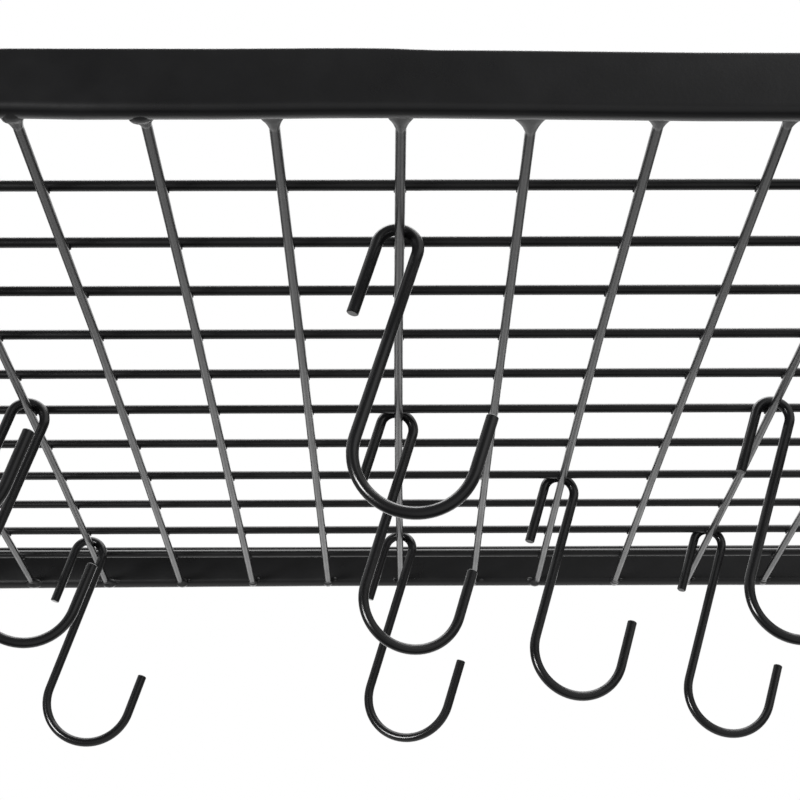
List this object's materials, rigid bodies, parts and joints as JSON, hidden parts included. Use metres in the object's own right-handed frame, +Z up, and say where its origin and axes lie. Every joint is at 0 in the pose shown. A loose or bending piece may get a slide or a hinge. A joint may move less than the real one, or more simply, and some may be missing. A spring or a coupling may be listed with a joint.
{
  "type": "hanging pot rack",
  "caption": "Overhead wire-mesh pot rack in black powder coat: flat-bar frame on corner chains, with S-hooks that swing on its depth wires.",
  "frame": {"origin": "in the ceiling's plane, over the middle of the rack", "axes": "+Z up, +X to the right along the long wires, +Y to the back along the depth wires; the picture looks along +Y"},
  "size_m": [0.6216, 0.408, 0.444],
  "materials": {
    "powder_coat": "satin black powder coat over welded steel",
    "hook_coat": "smooth semi-gloss black powder coat over bent steel wire",
    "chain_coat": "satin black coat over steel chain and screw hooks"
  },
  "bodies": {
    "rack": {"front_rail": "powder_coat", "back_rail": "powder_coat", "left_rail": "powder_coat", "right_rail": "powder_coat", "depth_wire_01": "powder_coat", "depth_wire_02": "powder_coat", "depth_wire_03": "powder_coat", "depth_wire_04": "powder_coat", "depth_wire_05": "powder_coat", "depth_wire_06": "powder_coat", "depth_wire_07": "powder_coat", "depth_wire_08": "powder_coat", "depth_wire_09": "powder_coat", "depth_wire_10": "powder_coat", "depth_wire_11": "powder_coat", "depth_wire_12": "powder_coat", "depth_wire_13": "powder_coat", "depth_wire_14": "powder_coat", "depth_wire_15": "powder_coat", "depth_wire_16": "powder_coat", "depth_wire_17": "powder_coat", "long_wire_01": "powder_coat", "long_wire_02": "powder_coat", "long_wire_03": "powder_coat", "long_wire_04": "powder_coat", "long_wire_05": "powder_coat", "long_wire_06": "powder_coat", "long_wire_07": "powder_coat", "long_wire_08": "powder_coat", "long_wire_09": "powder_coat", "long_wire_10": "powder_coat", "long_wire_11": "powder_coat", "corner_loop_front_left": "powder_coat", "corner_loop_front_right": "powder_coat", "corner_loop_back_left": "powder_coat", "corner_loop_back_right": "powder_coat", "chain_front_left": "chain_coat", "chain_front_right": "chain_coat", "chain_back_left": "chain_coat", "chain_back_right": "chain_coat", "ceiling_hook_front_left": "chain_coat", "ceiling_hook_front_right": "chain_coat", "ceiling_hook_back_left": "chain_coat", "ceiling_hook_back_right": "chain_coat"},
    "pot_hook_01": {"pot_hook_01": "hook_coat"},
    "pot_hook_02": {"pot_hook_02": "hook_coat"},
    "pot_hook_03": {"pot_hook_03": "hook_coat"},
    "pot_hook_04": {"pot_hook_04": "hook_coat"},
    "pot_hook_05": {"pot_hook_05": "hook_coat"},
    "pot_hook_06": {"pot_hook_06": "hook_coat"},
    "pot_hook_07": {"pot_hook_07": "hook_coat"},
    "pot_hook_08": {"pot_hook_08": "hook_coat"},
    "pot_hook_09": {"pot_hook_09": "hook_coat"},
    "pot_hook_10": {"pot_hook_10": "hook_coat"}
  },
  "joints": [
    {"name": "hook_01_swing", "type": "hinge", "parent": "rack", "child": "pot_hook_01", "pos_m": [-0.13, -0.12069, -0.3295], "axis": [0, 1, 0], "range_deg": [-50, 50]},
    {"name": "hook_02_swing", "type": "hinge", "parent": "rack", "child": "pot_hook_02", "pos_m": [0, -0.13007, -0.3295], "axis": [0, 1, 0], "range_deg": [-50, 50]},
    {"name": "hook_03_swing", "type": "hinge", "parent": "rack", "child": "pot_hook_03", "pos_m": [0.13, -0.1359, -0.3295], "axis": [0, 1, 0], "range_deg": [-50, 50]},
    {"name": "hook_04_swing", "type": "hinge", "parent": "rack", "child": "pot_hook_04", "pos_m": [-0.13, -0.00138, -0.3295], "axis": [0, 1, 0], "range_deg": [-50, 50]},
    {"name": "hook_05_swing", "type": "hinge", "parent": "rack", "child": "pot_hook_05", "pos_m": [0, 0.01044, -0.3295], "axis": [0, 1, 0], "range_deg": [-50, 50]},
    {"name": "hook_06_swing", "type": "hinge", "parent": "rack", "child": "pot_hook_06", "pos_m": [0.13, -0.00106, -0.3295], "axis": [0, 1, 0], "range_deg": [-50, 50]},
    {"name": "hook_07_swing", "type": "hinge", "parent": "rack", "child": "pot_hook_07", "pos_m": [0.06224, 0.07517, -0.3295], "axis": [0, 1, 0], "range_deg": [-50, 50]},
    {"name": "hook_08_swing", "type": "hinge", "parent": "rack", "child": "pot_hook_08", "pos_m": [-0.13, 0.15075, -0.3295], "axis": [0, 1, 0], "range_deg": [-50, 50]},
    {"name": "hook_09_swing", "type": "hinge", "parent": "rack", "child": "pot_hook_09", "pos_m": [0, 0.14541, -0.3295], "axis": [0, 1, 0], "range_deg": [-50, 50]},
    {"name": "hook_10_swing", "type": "hinge", "parent": "rack", "child": "pot_hook_10", "pos_m": [0.13, 0.13984, -0.3295], "axis": [0, 1, 0], "range_deg": [-50, 50]}
  ]
}
